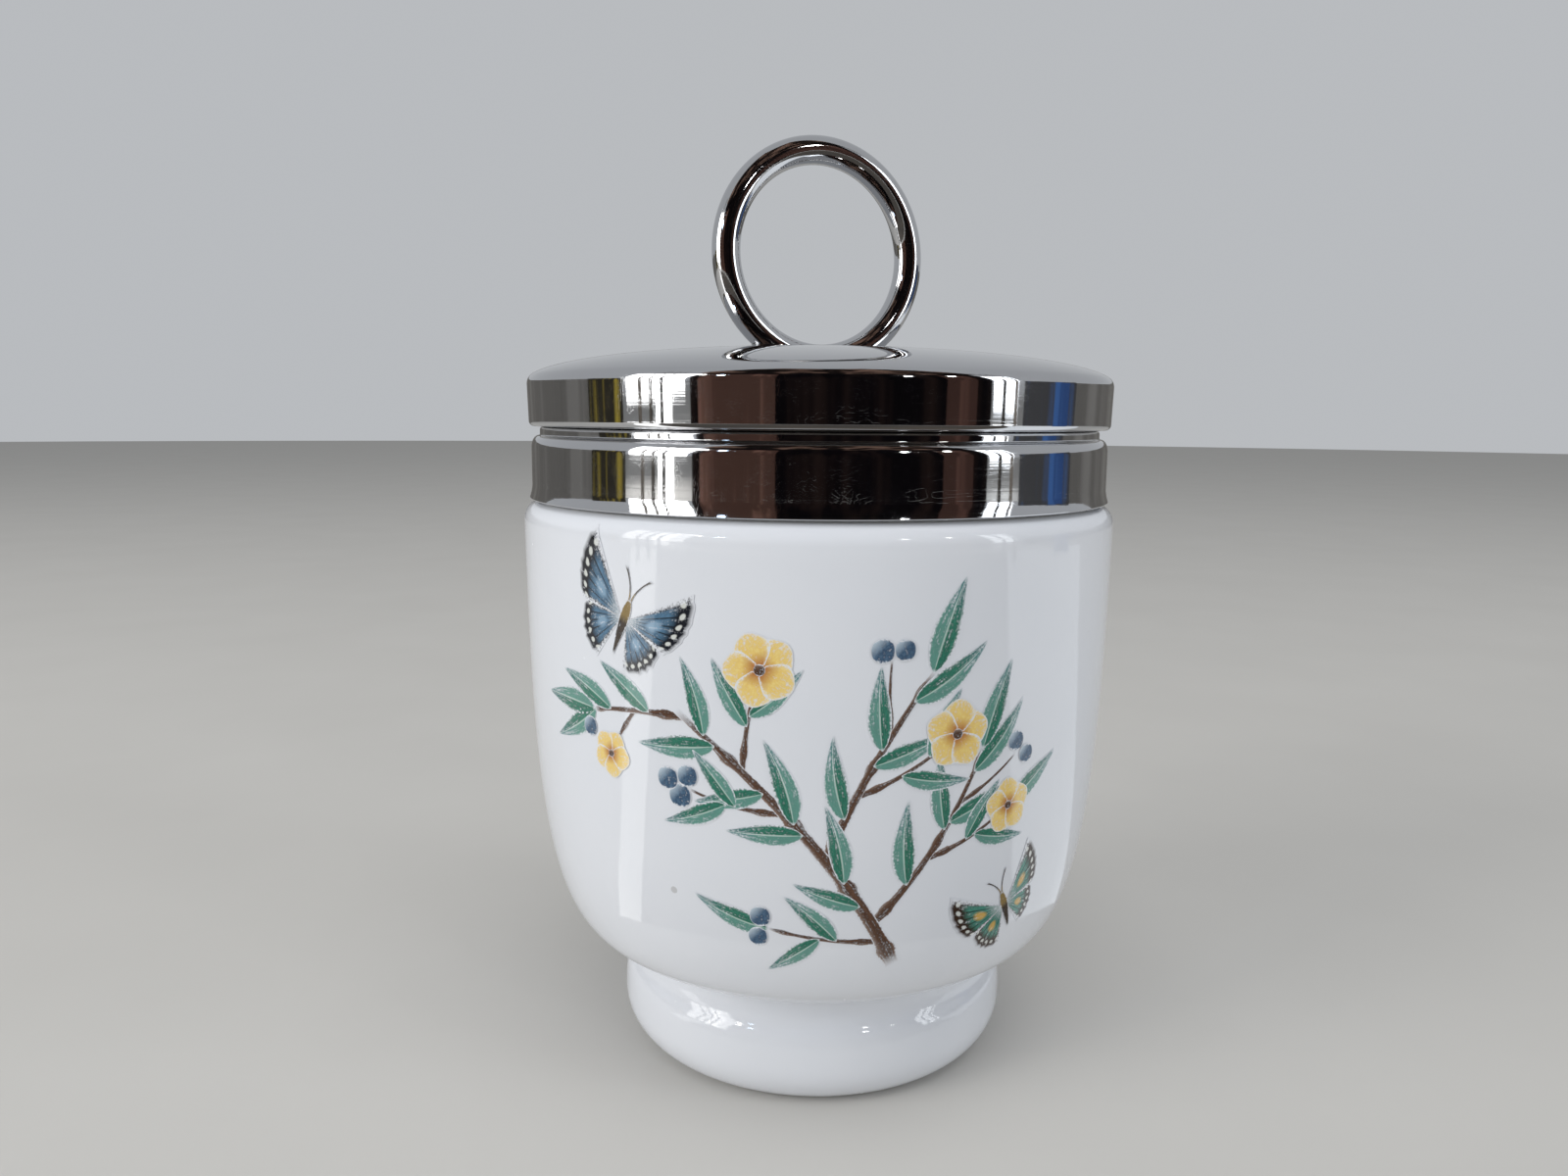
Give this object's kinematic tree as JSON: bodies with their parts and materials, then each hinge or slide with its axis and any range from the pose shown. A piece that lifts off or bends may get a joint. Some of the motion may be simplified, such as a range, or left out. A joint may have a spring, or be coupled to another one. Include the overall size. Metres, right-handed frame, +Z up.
{
  "type": "egg coddler",
  "caption": "Footed porcelain cup with a cemented metal neck collar and a domed screw lid with an upright lifting ring, for coddling an egg in hot water.",
  "frame": {"origin": "centre of the foot's standing ring, on the table", "axes": "+Z up along the axis of the cup and the lid; the lifting ring stands in the XZ plane"},
  "size_m": [0.057, 0.057, 0.0886],
  "materials": {
    "glazed_porcelain": "clear gloss glaze over white porcelain, with an enamel print on the glaze",
    "cement": "dull plaster cement",
    "chrome_plate": "polished chromium plate, with light wear",
    "solder": "soft bright solder, plated over",
    "bright_steel": "bright rolled steel"
  },
  "bodies": {
    "cup_body": {"cup": "glazed_porcelain", "collar_cement": "cement", "neck_collar": "chrome_plate"},
    "lid_fixing": {"stud_washer": "bright_steel"},
    "lid_body": {"lid_shell": "chrome_plate", "lifting_ring": "chrome_plate", "ring_solder": "solder"}
  },
  "joints": [
    {"name": "lid_lift", "type": "slide", "parent": "cup_body", "child": "lid_fixing", "axis": [0, 0, 1], "range_m": [0, 0.05]},
    {"name": "lid_turn", "type": "hinge", "parent": "lid_fixing", "child": "lid_body", "pos_m": [0, 0, 0.065], "axis": [0, 0, 1], "range_deg": [0, 450]}
  ]
}
